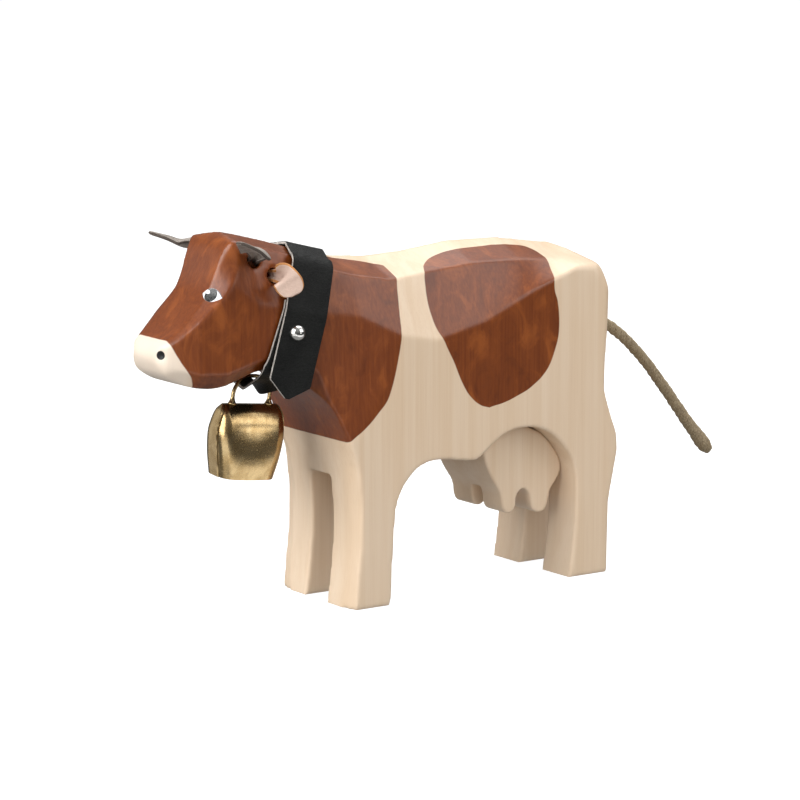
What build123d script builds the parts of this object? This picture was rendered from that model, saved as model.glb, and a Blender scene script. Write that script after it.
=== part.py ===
"""Carved wooden cow with a leather collar and a swinging bell.

+X points to the muzzle, +Y to the cow's left, +Z up. The origin is on the floor, midway
between hock and muzzle. All sizes are millimetres.
"""

import os
from math import cos, radians, sin, tan

from build123d import *

os.makedirs("parts", exist_ok=True)

# Board that the cow is sawn from: hock to muzzle, floor to poll, and its thickness
body_length = 176.0
poll_height = 126.0
board_width = 45.0

# Saw slot between the left and right legs
leg_slot_width = 12.5
leg_slot_height = 43.0

# Clearances of a glued seat and of a swinging piece, and how far a cutter passes what it cuts
seat_clearance = 0.15
swing_clearance = 0.3
overrun = 30.0

# Udder block
udder_width = 29.4
teat_gap = 5.8

# Leather horns and ears, and the holes that their rolled roots are glued in
horn_reach = 23.6
horn_width = 9.0
horn_leather = 1.2
ear_reach = 13.0
ear_width = 8.8
ear_leather = 1.2
root_hole_diameter = 4.8
root_depth = 6.0

# Drilled nostrils
nostril_diameter = 2.6
nostril_depth = 1.2

# Hemp cord tail
tail_diameter = 4.0
tail_route = [
    (-73.0, 0, 93.2),
    (-87.5, 0, 89.2),
    (-102.5, 0, 82.3),
    (-115.5, 0, 71.0),
    (-127.5, 0, 57.0),
    (-139.0, 0, 42.6),
    (-147.6, 0, 33.2),
]
tail_arc_share = 0.45

# Collar strap
strap_width = 14.6
strap_thickness = 1.3
strap_tilt = 17.0
strap_side_gap = 1.0
strap_top_gap = 0.7
strap_lap_gap = 0.1
strap_tip_width = 1.2
strap_point_length = 5.0
strap_arch_width = 7.0
strap_arch_height = 3.0
strap_throat_gap = 6.0
strap_bottom_half_span = 13.0
strap_bottom_rise = 2.6
strap_lead = 1.4
strap_low_lead = 0.8
strap_crest_setback = 5.0
strap_corner_radius = 4.0
strap_bend_radius = 7.0

# Rivet through both layers of the strap
rivet_cap_diameter = 5.5
rivet_cap_height = 1.9
rivet_post_diameter = 2.0
rivet_back_diameter = 4.6
rivet_back_thickness = 0.45
rivet_lead = 1.6

# Bell of folded sheet
bell_height = 24.0
bell_length = 25.0
bell_depth = 13.5
bell_sheet = 0.7
bell_lap = 0.45
bell_seam_reach = 2.6
bell_tilt = 5.8
bell_lean = 5.0

# Bail on the crown
bail_wire = 1.3
bail_span = 14.0
bail_height = 9.4
bail_bend_radius = 6.5
bail_foot_diameter = 2.5
bail_foot_height = 1.8
bail_hang_gap = 0.8

# Clapper
staple_wire = 0.9
staple_span = 4.6
staple_drop = 4.4
staple_bend_radius = 1.0
link_wire = 0.9
link_hole_diameter = 2.8
rod_wire = 1.1
rod_eye_hole_diameter = 2.5
ball_diameter = 6.0
ball_show = 1.4

half_board = board_width / 2


def along(x_share):
    """X of a share of the body's length, from the hock."""
    return (x_share - 1 / 2) * body_length


def height(z_share):
    """Z of a share of the poll's height."""
    return z_share * poll_height


def side_points(shares):
    """Points of the side view."""
    return [Vector(along(x), 0, height(z)) for x, z in shares]


def polygon(points):
    """Flat face on a closed chain of points."""
    return make_face(Polyline(*points, close=True))


def both_sides(shape):
    """A shape with its mirror image on the other side."""
    return [shape, mirror(shape, about=Plane.XZ)]


# Sawn outline of the side view, as shares of the body's length and the poll's height
hind_arch_shares = [
    (0.120, 0.000), (0.1125, 0.067), (0.107, 0.137), (0.104, 0.209), (0.1045, 0.273),
    (0.111, 0.316), (0.134, 0.366), (0.169, 0.409), (0.206, 0.429), (0.2455, 0.432),
    (0.288, 0.414), (0.327, 0.375), (0.345, 0.360),
]
belly_shares = [
    (0.345, 0.360), (0.400, 0.368), (0.455, 0.371), (0.485, 0.354), (0.504, 0.330),
    (0.517, 0.306), (0.526, 0.280), (0.535, 0.198), (0.540, 0.095), (0.544, 0.000),
]
chest_shares = [
    (0.630, 0.000), (0.622, 0.079), (0.6165, 0.159), (0.615, 0.238), (0.619, 0.317),
    (0.627, 0.397), (0.637, 0.452), (0.652, 0.508), (0.672, 0.556), (0.700, 0.600),
    (0.730, 0.629), (0.762, 0.643), (0.795, 0.642), (0.830, 0.629), (0.866, 0.613),
    (0.901, 0.609), (0.940, 0.619), (0.969, 0.635), (0.985, 0.652), (0.996, 0.677),
    (1.000, 0.700), (0.993, 0.722), (0.969, 0.750), (0.932, 0.797), (0.902, 0.845),
    (0.886, 0.888), (0.873, 0.935), (0.865, 0.962), (0.855, 0.983), (0.840, 0.997), (0.815, 1.015),
]
rump_shares = [
    (0.185, 0.975), (0.111, 0.920), (0.074, 0.899), (0.036, 0.853), (0.0225, 0.800),
    (0.0215, 0.750), (0.0265, 0.675), (0.036, 0.556), (0.033, 0.508), (0.014, 0.425),
    (0.002, 0.385), (0.000, 0.360), (0.006, 0.300), (0.019, 0.215), (0.024, 0.120), (0.024, 0.000),
]

# Carved section along the body: place, crest height, then the half width and height of the
# top arris, of the upper side line and of the lower side line. Widths are shares of half a board.
section_shares = [
    (-0.014, 0.905, 0.667, 0.873, 1.000, 0.857, 1.000, 0.450),
    (0.099, 0.909, 0.667, 0.875, 1.000, 0.861, 1.000, 0.450),
    (0.213, 0.931, 0.667, 0.882, 1.000, 0.802, 1.000, 0.450),
    (0.327, 0.932, 0.667, 0.882, 1.000, 0.730, 1.000, 0.450),
    (0.440, 0.913, 0.667, 0.868, 1.000, 0.693, 1.000, 0.450),
    (0.520, 0.908, 0.740, 0.857, 1.000, 0.714, 1.000, 0.650),
    (0.599, 0.916, 0.690, 0.875, 0.880, 0.770, 1.000, 0.490),
    (0.633, 0.926, 0.645, 0.888, 0.825, 0.778, 1.000, 0.430),
    (0.679, 0.941, 0.570, 0.910, 0.756, 0.786, 0.911, 0.476),
    (0.747, 0.968, 0.475, 0.945, 0.684, 0.802, 0.773, 0.556),
    (0.804, 0.988, 0.480, 0.967, 0.665, 0.817, 0.700, 0.595),
    (0.844, 1.000, 0.600, 0.983, 0.680, 0.857, 0.693, 0.595),
    (0.872, 1.000, 0.622, 0.985, 0.693, 0.873, 0.693, 0.595),
    (0.929, 1.000, 0.613, 0.985, 0.649, 0.873, 0.649, 0.595),
    (0.963, 1.000, 0.530, 0.985, 0.560, 0.873, 0.560, 0.595),
    (0.986, 1.000, 0.440, 0.985, 0.460, 0.873, 0.460, 0.595),
    (1.000, 1.000, 0.290, 0.985, 0.310, 0.873, 0.310, 0.595),
    (1.010, 1.000, 0.180, 0.985, 0.200, 0.873, 0.200, 0.595),
]

# Knife facets on the left side: pairs of points, each a share of length, half board and height
eye_facet_shares = [
    ((0.812, 0.760, 1.010), (0.790, 0.780, 0.955)),
    ((0.839, 0.640, 0.982), (0.818, 0.680, 0.932)),
    ((0.873, 0.511, 0.913), (0.855, 0.689, 0.885)),
    ((0.898, 0.400, 0.860), (0.882, 0.689, 0.841)),
    ((0.939, 0.351, 0.797), (0.921, 0.653, 0.794)),
    ((0.978, 0.391, 0.741), (0.966, 0.560, 0.738)),
    ((1.006, 0.540, 0.690), (0.998, 0.620, 0.690)),
]
jaw_facet_shares = [
    ((0.640, 0.960, 0.440), (0.650, 1.040, 0.520)),
    ((0.690, 0.560, 0.570), (0.690, 0.900, 0.660)),
    ((0.747, 0.420, 0.625), (0.747, 0.770, 0.704)),
    ((0.804, 0.460, 0.634), (0.804, 0.706, 0.676)),
    ((0.872, 0.520, 0.609), (0.872, 0.693, 0.647)),
    ((0.929, 0.480, 0.613), (0.929, 0.649, 0.650)),
    ((0.970, 0.380, 0.635), (0.970, 0.560, 0.672)),
    ((1.002, 0.440, 0.660), (1.004, 0.500, 0.690)),
]
shin_facet_shares = [
    ((0.633, 0.700, -0.030), (0.624, 1.000, -0.030)),
    ((0.624, 0.700, 0.079), (0.618, 1.000, 0.079)),
    ((0.618, 0.700, 0.159), (0.611, 1.000, 0.159)),
    ((0.617, 0.700, 0.278), (0.609, 1.000, 0.278)),
    ((0.626, 0.720, 0.380), (0.617, 1.000, 0.380)),
    ((0.644, 0.820, 0.460), (0.633, 1.020, 0.460)),
    ((0.690, 1.060, 0.560), (0.680, 1.160, 0.560)),
]
rump_facet_shares = [
    ((0.023, 0.950, -0.030), (0.030, 1.000, -0.030)),
    ((0.020, 0.950, 0.200), (0.027, 1.000, 0.200)),
    ((-0.001, 0.945, 0.340), (0.006, 1.000, 0.340)),
    ((0.002, 0.945, 0.385), (0.009, 1.000, 0.385)),
    ((0.032, 0.945, 0.508), (0.040, 1.000, 0.508)),
    ((0.026, 0.940, 0.680), (0.035, 1.000, 0.680)),
    ((0.0225, 0.925, 0.795), (0.034, 1.000, 0.795)),
    ((0.048, 0.920, 0.872), (0.063, 1.000, 0.860)),
    ((0.120, 0.950, 0.960), (0.130, 1.080, 0.930)),
]

# Places of the drilled holes in the side view
horn_hole_share = (0.805, 0.929)
ear_hole_share = (0.765, 0.887)
nostril_share = (0.990, 0.373, 0.704)


def section_at(x):
    """Carved section at X: crest height and three pairs of half width and height."""
    share = x / body_length + 1 / 2
    for low, high in zip(section_shares, section_shares[1:]):
        if low[0] <= share <= high[0]:
            part = (share - low[0]) / (high[0] - low[0])
            row = [a + (b - a) * part for a, b in zip(low, high)]
    crest = height(row[1])
    pairs = [(row[i] * half_board, height(row[i + 1])) for i in (2, 4, 6)]
    return crest, pairs


def half_width_at(x, z):
    """Half width of the carved side at a place of the side view."""
    pairs = section_at(x)[1]
    for (y_top, z_top), (y_low, z_low) in zip(pairs, pairs[1:]):
        if z_low <= z <= z_top:
            return y_low + (y_top - y_low) * (z - z_low) / (z_top - z_low)
    return pairs[0][0] if z > pairs[0][1] else pairs[-1][0]


def carved_envelope():
    """Faceted bar that the sawn blank is carved down to."""
    faces = []
    for row in section_shares:
        x = along(row[0])
        left = [(row[i] * half_board, height(row[i + 1])) for i in (2, 4, 6)]
        left.append((left[-1][0], -overrun))
        right = [(-y, z) for y, z in reversed(left)]
        ring = [(0, height(row[1])), *left, *right]
        faces.append(polygon([(x, y, z) for y, z in ring]))
    return loft(faces, ruled=True)


def knife_facet(pair_shares, outward):
    """Cutter that leaves a facet through pairs of points on the left side."""
    faces = []
    for pair in pair_shares:
        near, far = [Vector(along(x), y * half_board, height(z)) for x, y, z in pair]
        reach = (far - near).normalized() * (half_board / 3)
        tip = (near + far) / 2 + outward.normalized() * half_board
        faces.append(polygon([near - reach, far + reach, tip]))
    return loft(faces, ruled=True)


def side_place(place_share):
    """Point on the carved left side at a place of the side view."""
    x, z = along(place_share[0]), height(place_share[1])
    return Vector(x, half_width_at(x, z), z)


horn_root_direction = Vector(0.32, 0.90, 0.29).normalized()
ear_root_direction = Vector(0.05, 1.00, 0.05).normalized()
horn_entry = side_place(horn_hole_share)
ear_entry = side_place(ear_hole_share)
tail_start = Vector(*tail_route[0])
tail_exit = (Vector(*tail_route[1]) - tail_start).normalized()


def drill(entry, direction, diameter, depth):
    """Cutter for a blind hole whose mouth is at entry."""
    length = depth + overrun
    bit = Cylinder(diameter / 2, length, align=(Align.CENTER, Align.CENTER, Align.MIN))
    return Plane(entry - direction * depth, z_dir=direction) * bit


def make_body():
    """Head, neck, trunk and legs, carved from one board."""
    hind = Spline(*side_points(hind_arch_shares))
    belly = Spline(*side_points(belly_shares))
    chest = Spline(*side_points(chest_shares))
    rump = Spline(*side_points(rump_shares))
    feet = [Line(rump @ 1, hind @ 0), Line(belly @ 1, chest @ 0)]
    outline = make_face([hind, belly, feet[1], chest, Line(chest @ 1, rump @ 0), rump, feet[0]])
    blank = extrude(outline, half_board, both=True)
    slot_length = 2 * body_length
    slot_corner = (Align.CENTER, Align.CENTER, Align.MAX)
    slot = Pos(0, 0, leg_slot_height) * Box(
        slot_length, leg_slot_width, leg_slot_height + overrun, align=slot_corner
    )
    body = (blank & carved_envelope()) - slot
    knife_cuts = [
        knife_facet(eye_facet_shares, Vector(1, 1, 1)),
        knife_facet(jaw_facet_shares, Vector(0, 1, -1)),
        knife_facet(shin_facet_shares, Vector(1, 1, 0)),
        knife_facet(rump_facet_shares, Vector(-1, 1, 0)),
        drill(horn_entry, horn_root_direction, root_hole_diameter, root_depth),
        drill(ear_entry, ear_root_direction, root_hole_diameter, root_depth),
        drill_nostril(),
    ]
    for cut in knife_cuts:
        for side in both_sides(cut):
            body = body - side
    tail_hole = tail_diameter + 2 * seat_clearance
    return body - drill(tail_start, tail_exit, tail_hole, seat_clearance)


def drill_nostril():
    """Cutter for the left nostril."""
    x_share, y_share, z_share = nostril_share
    entry = Vector(along(x_share), y_share * half_board, height(z_share))
    return drill(entry, Vector(1, 1, 0).normalized(), nostril_diameter, nostril_depth)


carved_body = make_body()

# Udder outline, shares as in the sawn outline
udder_shares = [
    (0.318, 0.440), (0.304, 0.390), (0.292, 0.335), (0.268, 0.272), (0.256, 0.245), (0.252, 0.215),
    (0.243, 0.190), (0.228, 0.190), (0.219, 0.212), (0.214, 0.240), (0.200, 0.250), (0.188, 0.238),
    (0.182, 0.208), (0.172, 0.183), (0.152, 0.181), (0.141, 0.203), (0.134, 0.238), (0.116, 0.272),
    (0.110, 0.310),
]
teat_root_share = 0.252


def make_udder():
    """Udder block, cut to seat in the belly arch."""
    curve = Spline(*side_points(udder_shares))
    roof = Vector(along(udder_shares[0][0]), 0, height(1 / 2))
    outline = make_face([curve, Polyline(curve @ 1, roof + (curve @ 1 - curve @ 0), roof, curve @ 0)])
    block = extrude(outline, udder_width / 2, both=True)
    slot = Pos(0, 0, height(teat_root_share)) * Box(
        2 * body_length, teat_gap, overrun, align=(Align.CENTER, Align.CENTER, Align.MAX)
    )
    return (block - slot) - carved_body


udder = make_udder()

# Leather leaves: place along the leaf from the hole's mouth as shares of its reach, then the
# width as a share, the curl of the section in degrees, and how far it lies on its axis
horn_leaf_shares = [
    ((-0.070, -0.198, -0.064), 0.52, 200, 0.0),
    ((0.026, 0.072, 0.023), 0.54, 195, 0.0),
    ((0.110, 0.260, 0.095), 0.85, 125, 0.5),
    ((0.230, 0.450, 0.155), 0.95, 75, 1.0),
    ((0.400, 0.600, 0.205), 0.66, 45, 1.0),
    ((0.545, 0.695, 0.255), 0.36, 25, 1.0),
    ((0.610, 0.727, 0.280), 0.16, 15, 1.0),
]
ear_leaf_shares = [
    ((-0.018, -0.360, -0.018), 0.53, 200, 0.0),
    ((0.005, 0.110, 0.005), 0.55, 195, 0.0),
    ((0.010, 0.330, 0.030), 0.76, 110, 0.6),
    ((-0.040, 0.520, -0.060), 0.94, 55, 1.0),
    ((-0.110, 0.630, -0.220), 1.00, 30, 1.0),
    ((-0.180, 0.700, -0.370), 0.80, 20, 1.0),
    ((-0.210, 0.720, -0.440), 0.30, 15, 1.0),
]
horn_crown = Vector(-0.43, -0.12, 0.87)
ear_crown = Vector(-0.56, -0.81, -0.16)
leaf_steps = 8

# The left horn is set a little higher than the right one
left_horn_rise_share = 0.14


def make_leaf(entry, reach, width, leather, leaf_shares, crown, rise=0):
    """Strip of leather, rolled at its root and open at its tip, for the left side."""
    places = [entry + Vector(x, y, z + rise * y**2) * reach for (x, y, z), *_ in leaf_shares]
    faces = []
    for i, (_, width_share, curl, lift_share) in enumerate(leaf_shares):
        run = places[min(i + 1, len(places) - 1)] - places[max(i - 1, 0)]
        across = run.cross(crown).normalized()
        up = across.cross(run).normalized()
        angle = radians(curl)
        radius = width_share * width / angle
        centre = places[i] - up * (radius * lift_share)
        spread = [angle * (k / leaf_steps - 1 / 2) for k in range(leaf_steps + 1)]
        spokes = [up * cos(a) + across * sin(a) for a in spread]
        outer = [centre + spoke * (radius + leather / 2) for spoke in spokes]
        inner = [centre + spoke * (radius - leather / 2) for spoke in reversed(spokes)]
        faces.append(polygon(outer + inner))
    return loft(faces, ruled=True)


horn_sizes = (horn_entry, horn_reach, horn_width, horn_leather, horn_leaf_shares, horn_crown)
left_horn = make_leaf(*horn_sizes, rise=left_horn_rise_share)
right_horn = mirror(make_leaf(*horn_sizes), about=Plane.XZ)
left_ear = make_leaf(ear_entry, ear_reach, ear_width, ear_leather, ear_leaf_shares, ear_crown)
right_ear = mirror(left_ear, about=Plane.XZ)


def cord_radii(route):
    """Largest arc that each corner of a cord's route has room for."""
    radii = []
    for before, corner, after in zip(route, route[1:], route[2:]):
        runs = Vector(*corner) - Vector(*before), Vector(*after) - Vector(*corner)
        shorter = min(run.length for run in runs)
        radii.append(tail_arc_share * shorter / tan(radians(runs[0].get_angle(runs[1])) / 2))
    return radii


def make_tail():
    """Cord from the bottom of its hole to its free end."""
    radii = cord_radii(tail_route)
    path = FilletPolyline(*tail_route, radius=radii)
    section = Plane(tail_start, z_dir=tail_exit) * Circle(tail_diameter / 2)
    cord = sweep(section, path=path)
    print("tail radii", [round(radius, 1) for radius in radii], "length", round(path.length, 2))
    print("tail volume", round(cord.volume, 2), "section by length", round(section.area * path.length, 2))
    return cord


tail_cord = make_tail()

# Collar plane: its middle line starts at the crest and leans forward going down
collar_place_share = 0.685
collar_x = along(collar_place_share)
crest_height, collar_pairs = section_at(collar_x)
collar_crest = Vector(collar_x, 0, crest_height)
down = Vector(sin(radians(strap_tilt)), 0, -cos(radians(strap_tilt)))
forward = Vector(cos(radians(strap_tilt)), 0, sin(radians(strap_tilt)))
outward_y = Vector(0, 1, 0)
throat_share = 0.643
throat_height = height(throat_share)
strap_run = (crest_height - throat_height) / cos(radians(strap_tilt)) + strap_throat_gap

# Places down the strap as shares of its run from crest to throat
rivet_from_tip_share = 0.47
tip_run_share = 1.06
inner_end_run_share = 0.38
knee_run_share = 0.44
low_run_share = 0.89
knee_run = knee_run_share * strap_run
low_run = low_run_share * strap_run


def neck_side(run, ahead=0):
    """Half width of the neck at a run down the strap's middle line, or ahead of it."""
    place = collar_crest + down * run + forward * ahead
    return half_width_at(place.X, place.Z)


def crest_rise(ahead):
    """How far the crest stands over the strap's middle line at a place ahead of it."""
    return section_at(collar_x + ahead * forward.X)[0] - crest_height - ahead * forward.Z


strap_inner = strap_side_gap + strap_thickness / 2
strap_outer = strap_inner + strap_thickness + strap_lap_gap


def lap_side(run):
    """Half width of the neck on the straight line that both layers of the lap follow."""
    slope = (neck_side(low_run) - neck_side(knee_run)) / (low_run - knee_run)
    return neck_side(knee_run) + slope * (run - knee_run)


def strap_path():
    """Middle line of the strap, as half width and run, from its pointed end to its inner end."""
    top = -(strap_top_gap + strap_thickness / 2)
    arris_y, arris_z = collar_pairs[0]
    arris = (crest_height - arris_z) / cos(radians(strap_tilt)) + top
    tip = tip_run_share * strap_run
    inner_end = inner_end_run_share * strap_run
    corner = strap_run - strap_bottom_rise
    return [
        (lap_side(tip) + strap_outer, tip),
        (lap_side(knee_run) + strap_outer, knee_run),
        (arris_y + strap_outer, arris),
        (0, top),
        (-arris_y - strap_inner, arris),
        (-lap_side(knee_run) - strap_inner, knee_run),
        (-lap_side(low_run) - strap_inner, low_run),
        (-strap_bottom_half_span, corner),
        (0, strap_run),
        (strap_bottom_half_span, corner),
        (lap_side(low_run) + strap_inner, low_run),
        (lap_side(knee_run) + strap_inner, knee_run),
        (neck_side(inner_end) + strap_inner, inner_end),
    ]


path_points = strap_path()
path_radii = [strap_bend_radius] * (len(path_points) - 2)
for corner_index in (1, 3):
    path_radii[corner_index] = strap_corner_radius
strap_line = FilletPolyline(*[(y, run, 0) for y, run in path_points], radius=path_radii)
arc_steps = 3
width_steps = 4

# How much the strap narrows to the front on the neck's sides and its crest, per width
half_strap = strap_width / 2
side_taper = (neck_side(knee_run, -half_strap) - neck_side(knee_run, half_strap)) / strap_width
crest_taper = (crest_rise(-half_strap) - crest_rise(half_strap)) / strap_width


def strap_stations():
    """Lengths along the strap's middle line where its section is set."""
    stations = [0, strap_point_length]
    done = 0
    for edge in strap_line.edges():
        steps = arc_steps if edge.geom_type == GeomType.CIRCLE else 1
        stations += [done + edge.length * (k + 1) / steps for k in range(steps)]
        done += edge.length
    return sorted(stations)


def strap_frame(length):
    """Place, outward normal and taper of the strap at a length along its middle line."""
    point = strap_line.position_at(length, position_mode=PositionMode.LENGTH)
    along_strap = strap_line.tangent_at(length, position_mode=PositionMode.LENGTH)
    normal = down * along_strap.X - outward_y * along_strap.Y
    place = collar_crest + outward_y * point.X + down * point.Y
    taper = side_taper * abs(normal.Y) + crest_taper * max(0, -normal.dot(down))
    return place, normal, taper


def strap_section(length):
    """Cross-section of the strap at a length along its middle line."""
    place, normal, taper = strap_frame(length)
    run = (place - collar_crest).dot(down)
    width = strap_width
    arch = 0
    lead = 0
    if length < strap_point_length:
        width = strap_tip_width + (strap_width - strap_tip_width) * length / strap_point_length
    elif abs(place.Y) < collar_pairs[0][0] and run < knee_run:
        lead = -strap_crest_setback * (1 - abs(place.Y) / collar_pairs[0][0])
    elif length > strap_line.length / 2 and run > knee_run:
        gather_share = 0
        if run > low_run:
            gather_share = max(0, 1 - abs(place.Y) / neck_side(strap_run))
        width += (strap_arch_width - strap_width) * gather_share
        arch = strap_arch_height * gather_share
        lead = strap_lead * min(1, (run - knee_run) / (low_run - knee_run))
        lead += (strap_low_lead - strap_lead) * gather_share
    outer, inner = [], []
    for k in range(width_steps + 1):
        side_share = 2 * k / width_steps - 1
        ahead = lead + side_share * width / 2
        middle = place + forward * ahead + normal * (arch * side_share**2 - taper * ahead)
        outer.append(middle + normal * (strap_thickness / 2))
        inner.append(middle - normal * (strap_thickness / 2))
    return polygon(outer + inner[::-1])


strap_blank = loft([strap_section(length) for length in strap_stations()], ruled=True)

# Rivet axis, square to the strap's lapped side
rivet_place, rivet_normal, rivet_taper = strap_frame(rivet_from_tip_share * strap_run)
rivet_axis = (rivet_normal + forward * rivet_taper).normalized()
rivet_slope = forward - rivet_normal * rivet_taper
rivet_seat = rivet_place + rivet_slope * rivet_lead + rivet_normal * (strap_thickness / 2)
rivet_plane = Plane(rivet_seat, x_dir=rivet_slope, z_dir=rivet_axis)
post_length = 2 * strap_thickness + strap_lap_gap + rivet_back_thickness
post_hole = Cylinder(rivet_post_diameter / 2 + seat_clearance, 2 * overrun / 3)
collar_strap = strap_blank - rivet_plane * post_hole


def make_rivet_cap():
    """Domed cap with the post that passes through both layers."""
    radius = rivet_cap_diameter / 2
    dome_radius = (radius**2 + rivet_cap_height**2) / (2 * rivet_cap_height)
    dome = Pos(0, 0, rivet_cap_height - dome_radius) * Sphere(dome_radius)
    keep = Cylinder(radius, rivet_cap_height, align=(Align.CENTER, Align.CENTER, Align.MIN))
    post = Cylinder(
        rivet_post_diameter / 2, post_length + seat_clearance, align=(Align.CENTER, Align.CENTER, Align.MAX)
    )
    return rivet_plane * (Pos(0, 0, seat_clearance / 2) * ((dome & keep) + post))


def make_rivet_back():
    """Flat back of the rivet, behind the inner layer."""
    disc = Cylinder(
        rivet_back_diameter / 2, rivet_back_thickness, align=(Align.CENTER, Align.CENTER, Align.MAX)
    )
    hole = Cylinder(rivet_post_diameter / 2 + seat_clearance / 3, 2 * overrun)
    depth = 2 * strap_thickness + strap_lap_gap + seat_clearance / 2
    return rivet_plane * (Pos(0, 0, -depth) * (disc - hole))


rivet_cap = make_rivet_cap()
rivet_back = make_rivet_back()

# Bell, drawn upright with its crown at the origin, then hung in the strap
strap_low = collar_crest + down * strap_run + forward * strap_low_lead
bail_top = strap_low.Z + strap_thickness / 2 + bail_hang_gap + bail_wire / 2
hang = Pos(strap_low.X, 0, bail_top) * Rot(0, -bell_tilt, 0) * Rot(-bell_lean, 0, 0)
bell_place = hang * Pos(0, 0, -bail_height)

# Bell sections: drop as a share of its height, then length, depth and corner as shares
bell_section_shares = [
    (0.00, 0.84, 0.20, 0.09),
    (0.10, 0.91, 0.52, 0.18),
    (0.24, 0.97, 0.78, 0.28),
    (0.42, 1.00, 0.92, 0.32),
    (0.70, 0.92, 1.00, 0.32),
    (1.00, 0.80, 0.97, 0.32),
]


def bell_loft(inset, extra_drop=0):
    """Solid bell form, with its walls moved in by inset."""
    faces = []
    for drop_share, length_share, depth_share, corner_share in bell_section_shares:
        length = bell_length * length_share - 2 * inset
        depth = bell_depth * depth_share - 2 * inset
        corner = max(corner_share * bell_depth - inset, depth / 5)
        faces.append(Pos(0, 0, -bell_height * drop_share) * RectangleRounded(length, depth, corner))
    if extra_drop:
        faces.append(Pos(0, 0, -bell_height - extra_drop) * faces_outline(inset))
    return loft(faces, ruled=True)


def faces_outline(inset):
    """Outline of the bell's mouth, with its walls moved in by inset."""
    _, length_share, depth_share, corner_share = bell_section_shares[-1]
    length = bell_length * length_share - 2 * inset
    depth = bell_depth * depth_share - 2 * inset
    return RectangleRounded(length, depth, corner_share * bell_depth - inset)


def make_shell():
    """Folded sheet with the lap of its far half round both narrow sides."""
    hollow = Pos(0, 0, -bell_sheet) * bell_loft(bell_sheet, overrun)
    wall = bell_loft(0)
    lap_half = Box(
        2 * bell_length, bell_depth, 2 * bell_height, align=(Align.CENTER, Align.MAX, Align.CENTER)
    )
    side_gap_length = bell_length * bell_section_shares[-1][1] - bell_seam_reach
    between = Box(side_gap_length, 2 * bell_depth, 3 * bell_height)
    lap = (bell_loft(-bell_lap) & (Pos(0, bell_seam_reach, 0) * lap_half)) - between
    floor_cut = Pos(0, 0, -bell_height) * Box(
        2 * bell_length, 2 * bell_depth, overrun, align=(Align.CENTER, Align.CENTER, Align.MAX)
    )
    return (wall + lap) - hollow - floor_cut


def wire(points, radius, diameter):
    """Bent round wire."""
    path = FilletPolyline(*points, radius=radius)
    start = Plane(path @ 0, z_dir=path % 0)
    return sweep(start * Circle(diameter / 2), path=path)


def make_bail():
    """Wire loop with a brazed foot at each end."""
    half = bail_span / 2
    loop = wire([(-half, 0, 0), (-half, 0, bail_height), (half, 0, bail_height), (half, 0, 0)],
                bail_bend_radius, bail_wire)
    for x in (-half, half):
        foot = Cone(bail_foot_diameter / 2, bail_wire / 2, bail_foot_height,
                    align=(Align.CENTER, Align.CENTER, Align.MIN))
        loop = loop + Pos(x, 0, 0) * foot
    return loop


def make_staple():
    """Wire staple under the crown."""
    half = staple_span / 2
    roof = -bell_sheet - seat_clearance
    ends = [(-half, 0, roof), (-half, 0, -staple_drop), (half, 0, -staple_drop), (half, 0, roof)]
    return wire(ends, staple_bend_radius, staple_wire)


bell_shell = bell_place * make_shell()
bell_bail = bell_place * make_bail()
clapper_staple = bell_place * make_staple()

# Link ring on the staple's bar, and the rod that hangs from the link
link_radius = (link_hole_diameter + link_wire) / 2
link_drop = staple_drop + link_hole_diameter / 2 - staple_wire / 2 - swing_clearance
link_ring = Rot(0, 90, 0) * Torus(link_radius, link_wire / 2)
clapper_link = bell_place * (Pos(0, 0, -link_drop) * link_ring)
rod_pivot = (bell_place * Pos(0, 0, -link_drop - link_radius)).position
staple_bar = (bell_place * Pos(0, 0, -staple_drop)).position
mouth_middle = (bell_place * Pos(0, 0, -bell_height)).position


def make_rod():
    """Rod with an eye at its top and its end in the ball, hanging straight down."""
    eye_radius = (rod_eye_hole_diameter + rod_wire) / 2
    eye_drop = rod_eye_hole_diameter / 2 - link_wire / 2 - swing_clearance
    eye = Pos(0, 0, -eye_drop) * (Rot(90, 0, 0) * Torus(eye_radius, rod_wire / 2))
    eye_foot = eye_drop + eye_radius
    stem = Cylinder(rod_wire / 2, ball_drop - eye_foot, align=(Align.CENTER, Align.CENTER, Align.MAX))
    return Pos(*rod_pivot) * (eye + Pos(0, 0, -eye_foot) * stem)


ball_drop = rod_pivot.Z - mouth_middle.Z + ball_show - ball_diameter / 2
ball_bore = Cylinder(rod_wire / 2 + seat_clearance / 3, ball_diameter,
                     align=(Align.CENTER, Align.CENTER, Align.MIN))
clapper_rod = make_rod()
clapper_ball = Pos(*rod_pivot) * (Pos(0, 0, -ball_drop) * (Sphere(ball_diameter / 2) - ball_bore))

# Where the moving pieces turn
bell_parts = [bell_shell, bell_bail, clapper_staple]
bell_volume = sum(part.volume for part in bell_parts)
bell_middle = sum((part.center(CenterOf.MASS) * part.volume for part in bell_parts), Vector()) / bell_volume
print("collar pivot", collar_crest - forward * strap_crest_setback)
print("bell middle", bell_middle, "strap low", strap_low)
print("staple bar", staple_bar, "rod pivot", rod_pivot, "mouth", mouth_middle)
print("bell X axis", (bell_place * Pos(1, 0, 0)).position - bell_place.position)

nodes = {
    "carved_body": carved_body,
    "udder": udder,
    "left_horn": left_horn,
    "right_horn": right_horn,
    "left_ear": left_ear,
    "right_ear": right_ear,
    "tail_cord": tail_cord,
    "collar_strap": collar_strap,
    "rivet_cap": rivet_cap,
    "rivet_back": rivet_back,
    "bell_shell": bell_shell,
    "bell_bail": bell_bail,
    "clapper_staple": clapper_staple,
    "clapper_link": clapper_link,
    "clapper_rod": clapper_rod,
    "clapper_ball": clapper_ball,
}
for name, shape in nodes.items():
    export_step(shape, f"parts/{name}.step")
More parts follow.
